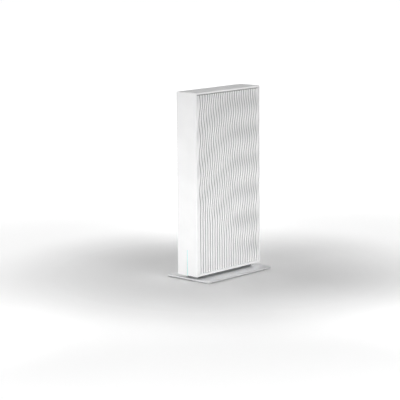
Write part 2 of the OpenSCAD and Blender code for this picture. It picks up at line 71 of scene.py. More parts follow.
SHELL_LO, SHELL_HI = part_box("frame_shell")
BEZEL_LO, BEZEL_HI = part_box("ethernet_jack_bezel")
INLET_LO, INLET_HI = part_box("dc_jack_housing")
SLEEVE_LO, SLEEVE_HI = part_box("dc_jack_sleeve")
PIN_LO, PIN_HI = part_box("dc_jack_pin")
CAP_LO, CAP_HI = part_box("pair_button_cap")
BLOCK_LO, BLOCK_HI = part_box("ethernet_contact_blocks")
WIRE_LO, WIRE_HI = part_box("ethernet_contacts")
GUIDE_LO, GUIDE_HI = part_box("led_light_guide")
PLATE_LO, PLATE_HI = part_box("base_plate")
NECK_LO, NECK_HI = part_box("stand_neck")
FEET_LO, FEET_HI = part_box("rubber_feet")
PANEL_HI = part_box("right_side_panel")[1]

FRONT_Y, REAR_Y = SHELL_LO.y, SHELL_HI.y

# ---------------------------------------------------------------- sizes of the details

# Casing: rim round a side panel, bottom wall, ledge that a panel rests on, and its holes
EDGE_R = 0.6 * MM
RIM = 1.8 * MM
FLOOR_T = 2.4 * MM
LEDGE = 1.4 * MM
CUT_BEVEL = 0.18 * MM
HOLE_GAP = 0.1 * MM
BUTTON_BORE_R = 2.9 * MM
VENT_W = 2.2 * MM
VENT_L = 6 * MM
VENT_X = 9.1 * MM
VENT_PITCH = 9 * MM
VENTS_EACH_WAY = 4

# Side panels: outer face, back face, and the grooves between the ribs
PANEL_T = 2.2 * MM
PANEL_X = PANEL_HI.x
SEAT_X = PANEL_X - PANEL_T
RIB_COUNT = 26
RIB_PITCH = 3.48 * MM
FIRST_GROOVE = 6.5 * MM
LAST_GROOVE = FIRST_GROOVE + (RIB_COUNT - 2) * RIB_PITCH
GROOVE_W = 1.5 * MM
GROOVE_DEPTH = 1.1 * MM
GROOVE_FLOOR_W = 0.8 * MM
RIB_ROUNDNESS = 3.2
RIB_DIP = 0.19 * MM

# Open strips along the front, rear and top rims, and how much further than the grooves the first two sway
FRONT_STRIP_END = FIRST_GROOVE - GROOVE_W / 2 - 2.5 * MM
FRONT_STRIP_GAIN = 1.4
REAR_STRIP_START = LAST_GROOVE + GROOVE_W / 2 + 0.9 * MM
REAR_STRIP_GAIN = 2.0
TOP_STRIP = 0.8 * MM

# The ribs' wave: even towards the rear, leaning and longer in a zone along the front edge, and dying out
# in the lower front below a slanting line
WAVE_SIZE = 1.1 * MM
WAVE_LENGTH = 30 * MM
LEAN_ZONE = 56 * MM
FIRST_CREST = 22 * MM
CREST_DROP = 29 * MM
CREST_CURVE = 1.6
FADE_START = 85 * MM
FADE_SLOPE = 0.85
FADE_LENGTH = 45 * MM

# Rows of points on a panel, and where they stand between two grooves: closer together on a rib's flanks
PANEL_ROWS = 132
RIM_STEPS = 18
RIB_STEPS = (0.0, 0.08, 0.11, 0.145, 0.19, 0.25, 0.33, 0.42, 0.5, 0.58, 0.67, 0.75, 0.81, 0.855, 0.89, 0.92)

# How the ribs end at the top strip: height in mm above its lower edge, and share of the groove's depth.
# The even rows of points stop a little below it.
STRIP_SHOULDER = ((-0.22, 0.02), (-0.10, 0.12), (-0.03, 0.40), (0.04, 0.80), (0.14, 1.00))
SHOULDER_ROOM = 0.4 * MM

# Light guide: the slit that its blade fills, and the top of the blade
GUIDE_SLIT = 1.2 * MM
GUIDE_FIT = 0.05 * MM
GUIDE_TOP = SHELL_LO.z + 25.95 * MM

# Stand: the plate's and the neck's corners and edges, and the plate's two countersunk screw holes
PLATE_CORNER_R = 1.5 * MM
PLATE_EDGE_R = 0.3 * MM
NECK_CORNER_R = 3 * MM
NECK_EDGE_R = 0.15 * MM
SCREW_Y = 30 * MM
SCREW_HEAD_R = 3.0 * MM
SCREW_HOLE_R = 1.7 * MM
COUNTERSINK = 1.42 * MM
COUNTERSINK_Z = PLATE_LO.z + 0.70 * MM
FOOT_R = 5 * MM
FOOT_EDGE_R = 0.25 * MM

# Network sockets: a mouth's lower and upper x, and the x and half height of each of its steps
PORT_COUNT = 4
PORT_PITCH = 13.97 * MM
PORT_W = 11.7 * MM
PORT_X = (-6.2 * MM, 2.4 * MM)
PORT_STEPS = ((-7.8 * MM, 3.2 * MM), (-9.2 * MM, 1.75 * MM))
CONTACT_BLOCK_W = 8.6 * MM
CONTACT_COUNT = 8
CONTACT_PITCH = 1.02 * MM
CONTACT_WIRE_R = 0.19 * MM

# Power inlet: inside of its sleeve, and its pin
SLEEVE_INNER_R = 3.15 * MM
PIN_R = 1.0 * MM
PIN_SLIT = 0.3 * MM
PIN_FLANGE_T = 1.2 * MM

# Pairing button: its cap, stem, keeper flange and the dish in its face
CAP_R = 2.6 * MM
CAP_EDGE_R = 0.35 * MM
CAP_DISH = 0.28 * MM
STEM_R = 1.5 * MM
KEEPER_Y = (CAP_LO.y + 1.1 * MM, CAP_LO.y + 2.1 * MM)

# Power symbol: a bar over three dashes
POWER_BAR_H = 0.4 * MM
POWER_DASH_W = 0.7 * MM
POWER_DASH_PITCH = 1.15 * MM


# ---------------------------------------------------------------- mesh helpers

def add_piece(name, bm, body="housing", sharp_deg=35):
    """A new object from a bmesh, smooth shaded with its hard edges kept, riding on a body."""
    mesh = bpy.data.meshes.new(name)
    bmesh.ops.recalc_face_normals(bm, faces=bm.faces)
    bm.to_mesh(mesh)
    bm.free()
    obj = bpy.data.objects.new(name, mesh)
    bpy.context.scene.collection.objects.link(obj)
    shade(obj, sharp_deg)
    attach(obj, body)
    return obj


def shade(obj, sharp_deg=35):
    """Smooth shading, broken at edges sharper than an angle."""
    obj.data.polygons.foreach_set("use_smooth", [True] * len(obj.data.polygons))
    obj.data.set_sharp_from_angle(angle=math.radians(sharp_deg))
    obj.data.update()


def apply_modifiers(obj):
    """The object's modifiers turned into plain mesh."""
    bpy.context.view_layer.update()
    graph = bpy.context.evaluated_depsgraph_get()
    mesh = bpy.data.meshes.new_from_object(obj.evaluated_get(graph), depsgraph=graph)
    obj.modifiers.clear()
    old = obj.data
    obj.data = mesh
    bpy.data.meshes.remove(old)
    obj.data.name = obj.name


def add_box(bm, lo, hi, radius=0.0, segments=4):
    """A box between two corners, with every edge rounded if radius is given."""
    lo, hi = Vector(lo), Vector(hi)
    made = bmesh.ops.create_cube(bm, size=1)["verts"]
    centre, size = (lo + hi) / 2, hi - lo
    bmesh.ops.scale(bm, vec=size, verts=made)
    bmesh.ops.translate(bm, vec=centre, verts=made)
    if radius:
        edges = {e for v in made for e in v.link_edges}
        bmesh.ops.bevel(bm, geom=list(edges), offset=radius, segments=segments, profile=0.5, affect="EDGES")
    return bm


def new_box(lo, hi, radius=0.0, segments=4):
    return add_box(bmesh.new(), lo, hi, radius, segments)


def rounded_plate(size, height, corner_r, edge_r, z0, corner_steps=10, edge_steps=3):
    """A flat plate with round corners seen from above and softly rounded top and bottom edges."""
    bm = bmesh.new()
    half = Vector((size[0] / 2 - corner_r, size[1] / 2 - corner_r))
    levels = [(edge_r * (1 - math.sin(a)), edge_r * (1 - math.cos(a))) for a in quarter(edge_steps)]
    rings = [(inset, z0 + lift) for inset, lift in levels]
    rings += [(inset, z0 + height - lift) for inset, lift in reversed(levels)]
    loops = []
    for inset, z in rings:
        loop = []
        for corner, (sx, sy) in enumerate(((1, 1), (-1, 1), (-1, -1), (1, -1))):
            for step in range(corner_steps + 1):
                angle = math.pi / 2 * (corner + step / corner_steps)
                radius = corner_r - inset
                loop.append(bm.verts.new((
                    sx * half.x + radius * math.cos(angle), sy * half.y + radius * math.sin(angle), z)))
        loops.append(loop)
    join_rings(bm, loops)
    return bm


def quarter(steps):
    """Angles from 0 to 90 degrees."""
    return [math.pi / 2 * i / steps for i in range(steps + 1)]


def middle_of(lo, hi):
    return (lo + hi) / 2


def circle(bm, centre, radius, sides, axis="Y"):
    """A ring of new points about a line along Y or Z."""
    x, y, z = centre
    ring = []
    for k in range(sides):
        angle = 2 * math.pi * k / sides
        across, along = radius * math.cos(angle), radius * math.sin(angle)
        place = (x + across, y, z + along) if axis == "Y" else (x + across, y + along, z)
        ring.append(bm.verts.new(place))
    return ring


def join_rings(bm, loops, cap=True):
    """Quads between neighbouring closed rings, with a face over each end."""
    for low, high in zip(loops, loops[1:]):
        for i in range(len(low)):
            j = (i + 1) % len(low)
            bm.faces.new((low[i], low[j], high[j], high[i]))
    if cap:
        bm.faces.new(list(reversed(loops[0])))
        bm.faces.new(loops[-1])


def lathe_y(profile, x, z, sides=64):
    """A solid turned about a line along Y. profile lists (radius, y) from one end to the other."""
    bm = bmesh.new()
    loops = []
    for radius, y in profile:
        if radius <= 1e-7:
            loops.append([bm.verts.new((x, y, z))])
            continue
        loops.append(circle(bm, (x, y, z), radius, sides))
    for low, high in zip(loops, loops[1:]):
        for k in range(sides):
            low_pair = [low[k % len(low)], low[(k + 1) % len(low)]]
            high_pair = [high[(k + 1) % len(high)], high[k % len(high)]]
            face = list(dict.fromkeys(low_pair + high_pair))
            if len(face) > 2:
                bm.faces.new(face)
    for end in (loops[0], loops[-1]):
        if len(end) > 1:
            bm.faces.new(end)
    return bm


def cut(obj, tool_bms, operation="DIFFERENCE"):
    """Exact booleans of one object with several closed shapes, applied at once."""
    tools = []
    for i, bm in enumerate(tool_bms):
        bmesh.ops.recalc_face_normals(bm, faces=bm.faces)
        mesh = bpy.data.meshes.new("tool")
        bm.to_mesh(mesh)
        bm.free()
        tool = bpy.data.objects.new("tool", mesh)
        bpy.context.scene.collection.objects.link(tool)
        tools.append(tool)
        step = obj.modifiers.new(f"cut{i}", "BOOLEAN")
        step.operation, step.solver, step.object = operation, "EXACT", tool
    apply_modifiers(obj)
    for tool in tools:
        mesh = tool.data
        bpy.data.objects.remove(tool)
        bpy.data.meshes.remove(mesh)


def soften(obj, width, segments=2, angle_deg=50):
    """A narrow rounding on every hard edge."""
    bevel = obj.modifiers.new("soften", "BEVEL")
    bevel.width, bevel.segments, bevel.limit_method = width, segments, "ANGLE"
    bevel.angle_limit = math.radians(angle_deg)
    bevel.use_clamp_overlap = True
    apply_modifiers(obj)
    shade_flat_faces(obj)


def shade_flat_faces(obj):
    """Smooth shading whose broad flat faces keep looking flat."""
    shade(obj)
    weight = obj.modifiers.new("flat", "WEIGHTED_NORMAL")
    weight.keep_sharp = True
    apply_modifiers(obj)


# ---------------------------------------------------------------- the ribs' wave, as in the CAD source

def limit(value):
    return min(1.0, max(0.0, value))


def smooth(value):
    """From 0 to 1 with a soft start and end."""
    return limit(value) ** 2 * (3 - 2 * limit(value))


def wave(u, t):
    """Strength and angle of the rib wave, u from the front edge and t below the top."""
    lean = limit(1 - u / LEAN_ZONE)
    first_crest = FIRST_CREST + CREST_DROP * lean ** CREST_CURVE
    length = WAVE_LENGTH * (1 + lean * (2 - lean) / 6)
    strength = 1 - smooth((t - FADE_START - FADE_SLOPE * u) / FADE_LENGTH)
    return strength, 2 * math.pi * (t - first_crest) / length


def sway(u, t):
    """How far a rib stands towards the rear."""
    strength, angle = wave(u, t)
    return WAVE_SIZE * strength * math.cos(angle)


def dip(u, t, side):
    """How far a rib's top dips below the panel's outer face: most where ribs slant to the rear going down."""
    strength, angle = wave(u, t)
    return RIB_DIP * strength * (1 - side * math.sin(angle))


def sink(distance):
    """Depth at a distance from a groove's middle, as a share: a flat floor, then a rounded rib."""
    crown = RIB_PITCH / 2
    if distance >= crown:
        return 0.0
    rise = min(1.0, (crown - distance) / (crown - GROOVE_FLOOR_W / 2))
    return 1 - (1 - rise ** RIB_ROUNDNESS) ** (1 / RIB_ROUNDNESS)


def panel_line(t, side, front, rear):
    """(y, depth) across the panel at one height: rows of points between the swaying grooves and the rims."""
    grooves = []
    for i in range(RIB_COUNT - 1):
        u = FIRST_GROOVE + i * RIB_PITCH
        grooves.append(FRONT_Y + u + side * sway(u, t))
    open_front = FRONT_Y + FRONT_STRIP_END + side * FRONT_STRIP_GAIN * sway(FIRST_GROOVE, t)
    open_rear = FRONT_Y + REAR_STRIP_START + side * REAR_STRIP_GAIN * sway(LAST_GROOVE, t)
    stops = [front, *grooves, rear]
    line = []
    for start, end in zip(stops, stops[1:]):
        at_rim = start == front or end == rear
        shares = [k / RIM_STEPS for k in range(RIM_STEPS)] if at_rim else RIB_STEPS
        for share in shares:
            y = start + (end - start) * share
            from_start = RIB_PITCH if start == front else y - start
            from_end = RIB_PITCH if end == rear else end - y
            from_strip = min(max(0.0, y - open_front), max(0.0, open_rear - y)) + GROOVE_W / 2
            rib_top = dip(y - FRONT_Y, t, side)
            share_down = max(sink(min(from_start, from_end)), sink(from_strip))
            line.append((y, rib_top + (GROOVE_DEPTH - rib_top) * share_down))
    line.append((rear, GROOVE_DEPTH))
    return line


def make_side_panel(name, node, side):
    """A closed panel whose face carries the swaying ribs; side is +1 on +X and -1 on -X."""
    lo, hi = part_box(node)
    front, rear = lo.y, hi.y
    bottom, top = lo.z, hi.z
    shoulder = top - TOP_STRIP
    ribbed = shoulder - SHOULDER_ROOM - bottom
    levels = [(bottom + ribbed * row / PANEL_ROWS, 0.0) for row in range(PANEL_ROWS + 1)]
    levels += [(shoulder + lift * MM, share) for lift, share in STRIP_SHOULDER] + [(top, 1.0)]
    bm = bmesh.new()
    rows = []
    for z, share in levels:
        line = []
        for y, depth in panel_line(SHELL_HI.z - z, side, front, rear):
            depth += (GROOVE_DEPTH - depth) * share
            line.append(bm.verts.new((side * (PANEL_X - depth), y, z)))
        line.append(bm.verts.new((side * SEAT_X, rear, z)))
        line.append(bm.verts.new((side * SEAT_X, front, z)))
        rows.append(line)
    join_rings(bm, rows)
    piece = add_piece(name, bm, sharp_deg=60)
    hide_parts(node)
    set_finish(piece, "white_panel")
    return piece


# ---------------------------------------------------------------- casing, stand and light

def port_middle(i):
    """Height of a network socket's middle, counted from the lowest."""
    middle = (BEZEL_LO.z + BEZEL_HI.z) / 2
    return middle + (i - (PORT_COUNT - 1) / 2) * PORT_PITCH


def make_casing():
    """The ring of front, top, rear and bottom walls, open towards both side panels."""
    piece = add_piece("casing_frame", new_box(SHELL_LO, SHELL_HI, EDGE_R, 5))
    far = 2 * SHELL_HI.x
    inner = RIM + LEDGE
    seats = [
        new_box((side * SEAT_X if side > 0 else -far, FRONT_Y + RIM, SHELL_LO.z + FLOOR_T),
                (far if side > 0 else -SEAT_X, REAR_Y - RIM, SHELL_HI.z - RIM))
        for side in (1, -1)
    ]
    room = new_box((-far, FRONT_Y + inner, SHELL_LO.z + FLOOR_T + LEDGE),
                   (far, REAR_Y - inner, SHELL_HI.z - inner))
    gap = HOLE_GAP
    reach = REAR_Y + MM
    deep = REAR_Y - inner - MM
    jack = new_box((BEZEL_LO.x - gap, deep, BEZEL_LO.z - gap), (BEZEL_HI.x + gap, reach, BEZEL_HI.z + gap))
    inlet = new_box((INLET_LO.x - gap, deep, INLET_LO.z - gap), (INLET_HI.x + gap, reach, INLET_HI.z + gap))
    button = middle_of(CAP_LO, CAP_HI)
    bore = lathe_y([(BUTTON_BORE_R, deep), (BUTTON_BORE_R, reach)], button.x, button.z)
    slit_x = GUIDE_SLIT / 2
    slit = new_box((-slit_x, FRONT_Y - MM, SHELL_LO.z - MM), (slit_x, FRONT_Y + inner, GUIDE_TOP + GUIDE_FIT))
    vents = [
        new_box((side * VENT_X - VENT_W / 2, row * VENT_PITCH - VENT_L / 2, SHELL_LO.z - MM),
                (side * VENT_X + VENT_W / 2, row * VENT_PITCH + VENT_L / 2, SHELL_LO.z + 6 * MM))
        for side in (1, -1) for row in range(-VENTS_EACH_WAY, VENTS_EACH_WAY + 1)
    ]
    cut(piece, [room, *seats, jack, inlet, bore, slit, *vents])
    soften(piece, CUT_BEVEL)
    cut(piece, mark_pockets())
    shade_flat_faces(piece)
    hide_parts("frame_shell")
    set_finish(piece, "white_shell")
    return piece


def mark_pockets():
    """Shallow pockets in the rear face that the printed marks fill."""
    tools = []
    out = REAR_Y + MM
    for node in ("wan_port_label", "lan_port_label"):
        lo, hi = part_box(node)
        tools.append(new_box((lo.x, lo.y, lo.z), (hi.x, out, hi.z)))
    lo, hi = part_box("power_symbol")
    tools.append(new_box((lo.x, lo.y, hi.z - POWER_BAR_H), (hi.x, out, hi.z)))
    for i in range(3):
        x = lo.x + i * POWER_DASH_PITCH
        tools.append(new_box((x, lo.y, lo.z), (x + POWER_DASH_W, out, lo.z + POWER_BAR_H)))
    lo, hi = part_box("pair_symbol")
    middle = middle_of(lo, hi)
    radius = (hi.x - lo.x) / 2
    tools.append(lathe_y([(radius, lo.y), (radius, out)], middle.x, middle.z, 48))
    return tools


def make_light_guide():
    """The clear blade in the front slit, lit from inside, and its flange behind the wall."""
    x = GUIDE_HI.x
    blade_x = GUIDE_SLIT / 2 - GUIDE_FIT
    wall = FRONT_Y + 3.3 * MM
    foot = SHELL_LO.z + 4 * MM
    bm = new_box((-blade_x, GUIDE_LO.y, GUIDE_LO.z), (blade_x, wall + 0.4 * MM, GUIDE_TOP), 0.15 * MM, 2)
    piece = add_piece("light_guide", bm)
    flange = new_box((GUIDE_LO.x, wall, foot), (x, GUIDE_HI.y, GUIDE_HI.z))
    cut(piece, [flange], "UNION")
    cut(piece, [new_box((-2 * x, wall - MM, SHELL_LO.z - MM), (2 * x, wall + MM, foot))])
    shade(piece)
    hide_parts("led_light_guide")
    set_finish(piece, "light_guide")
    return piece


def upright_cone(y, low_r, high_r, height, z):
    """A closed cone or cylinder on the part's middle line, z at the middle of its height."""
    bm = bmesh.new()
    bmesh.ops.create_cone(bm, segments=48, radius1=low_r, radius2=high_r, depth=height, cap_ends=True,
                          matrix=Matrix.Translation((0, y, z)))
    return bm


def make_stand():
    """The metal plate with its two countersunk screw holes, and the dark neck on it."""
    size = PLATE_HI - PLATE_LO
    sheet = rounded_plate((size.x, size.y), size.z, PLATE_CORNER_R, PLATE_EDGE_R, PLATE_LO.z)
    plate = add_piece("stand_plate", sheet)
    holes = []
    for y in (SCREW_Y, -SCREW_Y):
        holes.append(upright_cone(y, SCREW_HEAD_R, SCREW_HOLE_R, COUNTERSINK, COUNTERSINK_Z))
        holes.append(upright_cone(y, SCREW_HOLE_R, SCREW_HOLE_R, 4 * MM, PLATE_LO.z))
    cut(plate, holes)
    shade(plate)
    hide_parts("base_plate")
    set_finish(plate, "stand_metal")
    size = NECK_HI - NECK_LO
    block = rounded_plate((size.x, size.y), size.z, NECK_CORNER_R, NECK_EDGE_R, NECK_LO.z)
    neck = add_piece("stand_collar", block)
    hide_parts("stand_neck")
    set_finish(neck, "dark_neck")
    return plate, neck


def make_feet():
    """Four round rubber feet with softened lower edges."""
    bm = bmesh.new()
    radius = FOOT_R
    height = FEET_HI.z - FEET_LO.z
    soft = FOOT_EDGE_R
    profile = [(radius - soft, 0), (radius - soft * 0.3, soft * 0.3), (radius, soft), (radius, height)]
    for x in (FEET_LO.x + radius, FEET_HI.x - radius):
        for y in (FEET_LO.y + radius, FEET_HI.y - radius):
            join_rings(bm, [circle(bm, (x, y, FEET_LO.z + z), r, 48, "Z") for r, z in profile])
    piece = add_piece("feet", bm)
    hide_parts("rubber_feet")
    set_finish(piece, "rubber")
    return piece


# ---------------------------------------------------------------- sockets, inlet and button

def socket_tools(y0, y1):
    """Closed shapes of the four stepped socket mouths."""
    tools = []
    for i in range(PORT_COUNT):
        z = port_middle(i)
        outline = [(PORT_X[1], -PORT_W / 2), (PORT_X[0], -PORT_W / 2)]
        for x, half in PORT_STEPS:
            outline += [(outline[-1][0], -half), (x, -half)]
        outline += [(x, -w) for x, w in reversed(outline)]
        bm = bmesh.new()
        rings = [[bm.verts.new((x, y, z + w)) for x, w in outline] for y in (y0, y1)]
        join_rings(bm, rings)
        tools.append(bm)
    return tools


def make_sockets():
    """The white face of the four sockets, and the slotted blocks that hold their contacts."""
    bezel = add_piece("socket_bezel", new_box(BEZEL_LO, BEZEL_HI, 0.25 * MM, 3))
    cut(bezel, socket_tools(BEZEL_LO.y - MM, BEZEL_HI.y + MM))
    soften(bezel, 0.15 * MM)
    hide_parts("ethernet_jack_bezel")
    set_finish(bezel, "socket_white")

    blocks_bm = bmesh.new()
    half = CONTACT_BLOCK_W / 2
    for i in range(PORT_COUNT):
        z = port_middle(i)
        add_box(blocks_bm, (BLOCK_LO.x, BLOCK_LO.y, z - half), (BLOCK_HI.x, BLOCK_HI.y, z + half),
                0.15 * MM, 2)
    blocks = add_piece("contact_blocks", blocks_bm)
    slots = [
        new_box((BLOCK_LO.x - MM, BLOCK_LO.y - MM, contact_z(i, k) - 0.3 * MM),
                (BLOCK_LO.x + 0.35 * MM, WIRE_HI.y + 0.4 * MM, contact_z(i, k) + 0.3 * MM))
        for i in range(PORT_COUNT) for k in range(CONTACT_COUNT)
    ]
    cut(blocks, slots)
    shade(blocks)
    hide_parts("ethernet_contact_blocks")
    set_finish(blocks, "socket_white")
    return bezel, blocks


def contact_z(i, k):
    """Height of one contact of one socket."""
    return port_middle(i) + (k - (CONTACT_COUNT - 1) / 2) * CONTACT_PITCH


def make_contacts():
    """Thirty-two round spring wires, bent over a smooth path inside the sockets."""
    bm = bmesh.new()
    radius = CONTACT_WIRE_R
    root, tip = WIRE_HI.y - 0.2 * MM, WIRE_LO.y + radius
    low = WIRE_HI.x + 0.1 * MM
    crest = WIRE_LO.x + radius
    bend = 0.74
    steps = 22
    for i in range(PORT_COUNT):
        for k in range(CONTACT_COUNT):
            rings = []
            for step in range(steps + 1):
                share = step / steps
                y = root + (tip - root) * share
                if share < bend:
                    rise = smooth(share / bend)
                else:
                    rise = 1 - 0.55 * smooth((share - bend) / (1 - bend))
                x = low + (crest - low) * rise
                rings.append(circle(bm, (x, y, contact_z(i, k)), radius, 8))
            join_rings(bm, rings)
    piece = add_piece("contact_wires", bm)
    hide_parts("ethernet_contacts")
    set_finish(piece, "gold_contact")
    return piece


def make_inlet():
    """The inlet's white housing, its black sleeve with the side spring's window, and its slit pin."""
    middle = middle_of(SLEEVE_LO, SLEEVE_HI)
    x, z = middle.x, middle.z
    outer_r = (SLEEVE_HI.z - SLEEVE_LO.z) / 2
    inner_r = SLEEVE_INNER_R
    housing = add_piece("inlet_housing", new_box(INLET_LO, INLET_HI, 0.3 * MM, 3))
    mouth = INLET_HI.y
    bore = lathe_y([
        (outer_r, PIN_LO.y), (outer_r, mouth - 0.3 * MM), (outer_r + 0.12 * MM, mouth - 0.12 * MM),
        (outer_r + 0.35 * MM, mouth + 0.01 * MM), (outer_r + 0.35 * MM, mouth + MM)
    ], x, z)
    cut(housing, [bore])
    shade(housing)
    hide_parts("dc_jack_housing")
    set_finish(housing, "socket_white")

    back, front = SLEEVE_LO.y, SLEEVE_HI.y
    chamfer = 0.25 * MM
    profile = [
        (inner_r, back), (outer_r, back), (outer_r, front - 0.1 * MM), (outer_r - 0.1 * MM, front),
        (inner_r + chamfer, front), (inner_r, front - chamfer)
    ]
    sleeve = add_piece("inlet_sleeve", turned_ring(profile, x, z))
    window = new_box((x + inner_r - 0.5 * MM, back - MM, z - 1.3 * MM),
                     (x + 2 * outer_r, front - 3 * MM, z + 1.3 * MM))
    cut(sleeve, [window])
    shade(sleeve)
    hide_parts("dc_jack_sleeve")
    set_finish(sleeve, "inlet_black")

    pin_r = PIN_R
    flange_r = (PIN_HI.z - PIN_LO.z) / 2
    foot, tip = PIN_LO.y, PIN_HI.y
    flange = foot + PIN_FLANGE_T
    dome = [(pin_r * math.cos(a), tip - pin_r + pin_r * math.sin(a)) for a in quarter(6)]
    profile = [(0, foot), (flange_r, foot), (flange_r, flange), (pin_r, flange)]
    pin = add_piece("inlet_pin", lathe_y(profile + dome, x, z, 48))
    slit = PIN_SLIT / 2
    cut(pin, [new_box((x - 2 * pin_r, tip - 3 * MM, z - slit), (x + 2 * pin_r, tip + MM, z + slit))])
    shade(pin)
    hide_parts("dc_jack_pin")
    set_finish(pin, "inlet_pin_metal")
    return housing, sleeve, pin


def turned_ring(profile, x, z, sides=64):
    """A closed ring turned about a line along Y; the profile's last point joins its first."""
    bm = bmesh.new()
    loops = [circle(bm, (x, y, z), radius, sides) for radius, y in profile]
    join_rings(bm, loops + [loops[0]], cap=False)
    return bm


def make_button():
    """The cap with its dished face, softly rounded rim, keeper flange and stem."""
    middle = middle_of(CAP_LO, CAP_HI)
    keeper_r = (CAP_HI.z - CAP_LO.z) / 2
    face = CAP_HI.y
    soft = CAP_EDGE_R
    profile = [(0, CAP_LO.y), (STEM_R, CAP_LO.y), (STEM_R, KEEPER_Y[0]), (keeper_r, KEEPER_Y[0]),
               (keeper_r, KEEPER_Y[1]), (CAP_R, KEEPER_Y[1]), (CAP_R, face - soft)]
    profile += [(CAP_R - soft + soft * math.cos(a), face - soft + soft * math.sin(a)) for a in quarter(5)[1:]]
    dish_r = CAP_R - soft - 0.1 * MM
    profile += [(dish_r * (1 - s), face - CAP_DISH * smooth(s * 1.25)) for s in (0, 0.2, 0.4, 0.6, 0.8)]
    profile.append((0, face - CAP_DISH))
    piece = add_piece("pair_button", lathe_y(profile, middle.x, middle.z), body="pair_button")
    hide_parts("pair_button_cap")
    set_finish(piece, "white_button")
    return piece


# ---------------------------------------------------------------- materials

# Broad tone changes in features per metre, and the heights of the fine relief
PLASTIC_CLOUDS = 45
METAL_CLOUDS = 60
PLASTIC_GRAIN_H = 0.05 * MM
METAL_GRAIN_H = 0.03 * MM
TRACK_H = 0.03 * MM


def new_material(name, **constants):
    """A Principled material; each constant goes on the shader's own socket."""
    mat = bpy.data.materials.new(name)
    mat.use_nodes = True
    bsdf = mat.node_tree.nodes["Principled BSDF"]
    for socket, value in constants.items():
        bsdf.inputs[socket.replace("_", " ")].default_value = value
    return mat, mat.node_tree, bsdf


def noise(tree, scale, detail=3.0, stretch=(1, 1, 1)):
    """A noise value over the object's own coordinates, in features per metre."""
    coords = tree.nodes.new("ShaderNodeTexCoord")
    mapping = tree.nodes.new("ShaderNodeMapping")
    mapping.inputs["Scale"].default_value = stretch
    texture = tree.nodes.new("ShaderNodeTexNoise")
    texture.inputs["Scale"].default_value = scale
    texture.inputs["Detail"].default_value = detail
    tree.links.new(coords.outputs["Object"], mapping.inputs["Vector"])
    tree.links.new(mapping.outputs["Vector"], texture.inputs["Vector"])
    return texture.outputs["Fac"]


def remap(tree, value, low, high, start=0.3, end=0.7, blend="LINEAR"):
    """A value between start and end spread over low to high."""
    node = tree.nodes.new("ShaderNodeMapRange")
    node.interpolation_type = blend
    node.inputs["From Min"].default_value, node.inputs["From Max"].default_value = start, end
    node.inputs["To Min"].default_value, node.inputs["To Max"].default_value = low, high
    tree.links.new(value, node.inputs["Value"])
    return node.outputs["Result"]


def two_tone(tree, factor, first, second):
    """A colour between two others."""
    node = tree.nodes.new("ShaderNodeMix")
    node.data_type = "RGBA"
    node.inputs["A"].default_value = (*first, 1)
    node.inputs["B"].default_value = (*second, 1)
    tree.links.new(factor, node.inputs["Factor"])
    return node.outputs["Result"]


def bump(tree, bsdf, height, strength, distance):
    """Relief from a height value; distance is the height of its full range."""
    node = tree.nodes.new("ShaderNodeBump")
    node.inputs["Strength"].default_value = strength
    node.inputs["Distance"].default_value = distance
    tree.links.new(height, node.inputs["Height"])
    tree.links.new(node.outputs["Normal"], bsdf.inputs["Normal"])


def moulded(name, color, rough=0.45, spread=0.06, mottle=0.025, grain=2600, relief=0.05):
    """Moulded plastic or rubber: faint cloudy tone, a fine spark-eroded grain and uneven gloss."""
    mat, tree, bsdf = new_material(name)
    cloud = remap(tree, noise(tree, PLASTIC_CLOUDS, 4), 0, 1)
    dark = tuple(c * (1 - mottle) for c in color)
    light = tuple(min(1, c * (1 + mottle)) for c in color)
    tree.links.new(two_tone(tree, cloud, dark, light), bsdf.inputs["Base Color"])
    fine = noise(tree, grain, 2)
    tree.links.new(remap(tree, fine, rough - spread, rough + spread), bsdf.inputs["Roughness"])
    bump(tree, bsdf, fine, relief, PLASTIC_GRAIN_H)
    return mat


def painted_groove_shade(mat, tone):
    """The ribbed face's own colour with a painted shade over it: darkened with depth below the panel's outer
    face down to the groove floors, which also darkens the dipped rib tops.
    """
    tree = mat.node_tree
    socket = tree.nodes["Principled BSDF"].inputs["Base Color"]
    plain = socket.links[0].from_socket
    coords = tree.nodes.new("ShaderNodeTexCoord")
    split = tree.nodes.new("ShaderNodeSeparateXYZ")
    tree.links.new(coords.outputs["Object"], split.inputs[0])
    distance = tree.nodes.new("ShaderNodeMath")
    distance.operation = "ABSOLUTE"
    tree.links.new(split.outputs["X"], distance.inputs[0])
    share = remap(tree, distance.outputs["Value"], 0, 1, PANEL_X, PANEL_X - GROOVE_DEPTH, "SMOOTHSTEP")
    # painted shade: the deeper below the panel's outer face, the darker the colour
    shadow = two_tone(tree, share, (1, 1, 1), (tone, tone, tone * 1.01))
    tree.links.new(shadow, multiply(tree, plain, socket))
    return mat


def multiply(tree, color, target):
    """Links a colour into target through a multiply node, and returns the node's other colour socket."""
    node = tree.nodes.new("ShaderNodeMix")
    node.data_type, node.blend_type = "RGBA", "MULTIPLY"
    node.inputs["Factor"].default_value = 1
    tree.links.new(color, node.inputs["A"])
    tree.links.new(node.outputs["Result"], target)
    return node.inputs["B"]


def metal(name, color, rough=0.3, spread=0.08, stretch=(1, 1, 1), grain=1800, relief=0.05, **constants):
    """Bare or plated metal with a directed or even grain and slightly uneven tone."""
    mat, tree, bsdf = new_material(name, **{"Metallic": 1.0, **constants})
    cloud = remap(tree, noise(tree, METAL_CLOUDS, 3), 0, 1)
    tree.links.new(two_tone(tree, cloud, tuple(c * 0.95 for c in color), color), bsdf.inputs["Base Color"])
    fine = noise(tree, grain, 3, stretch)
    tree.links.new(remap(tree, fine, rough - spread, rough + spread), bsdf.inputs["Roughness"])
    bump(tree, bsdf, fine, relief, METAL_GRAIN_H)
    return mat


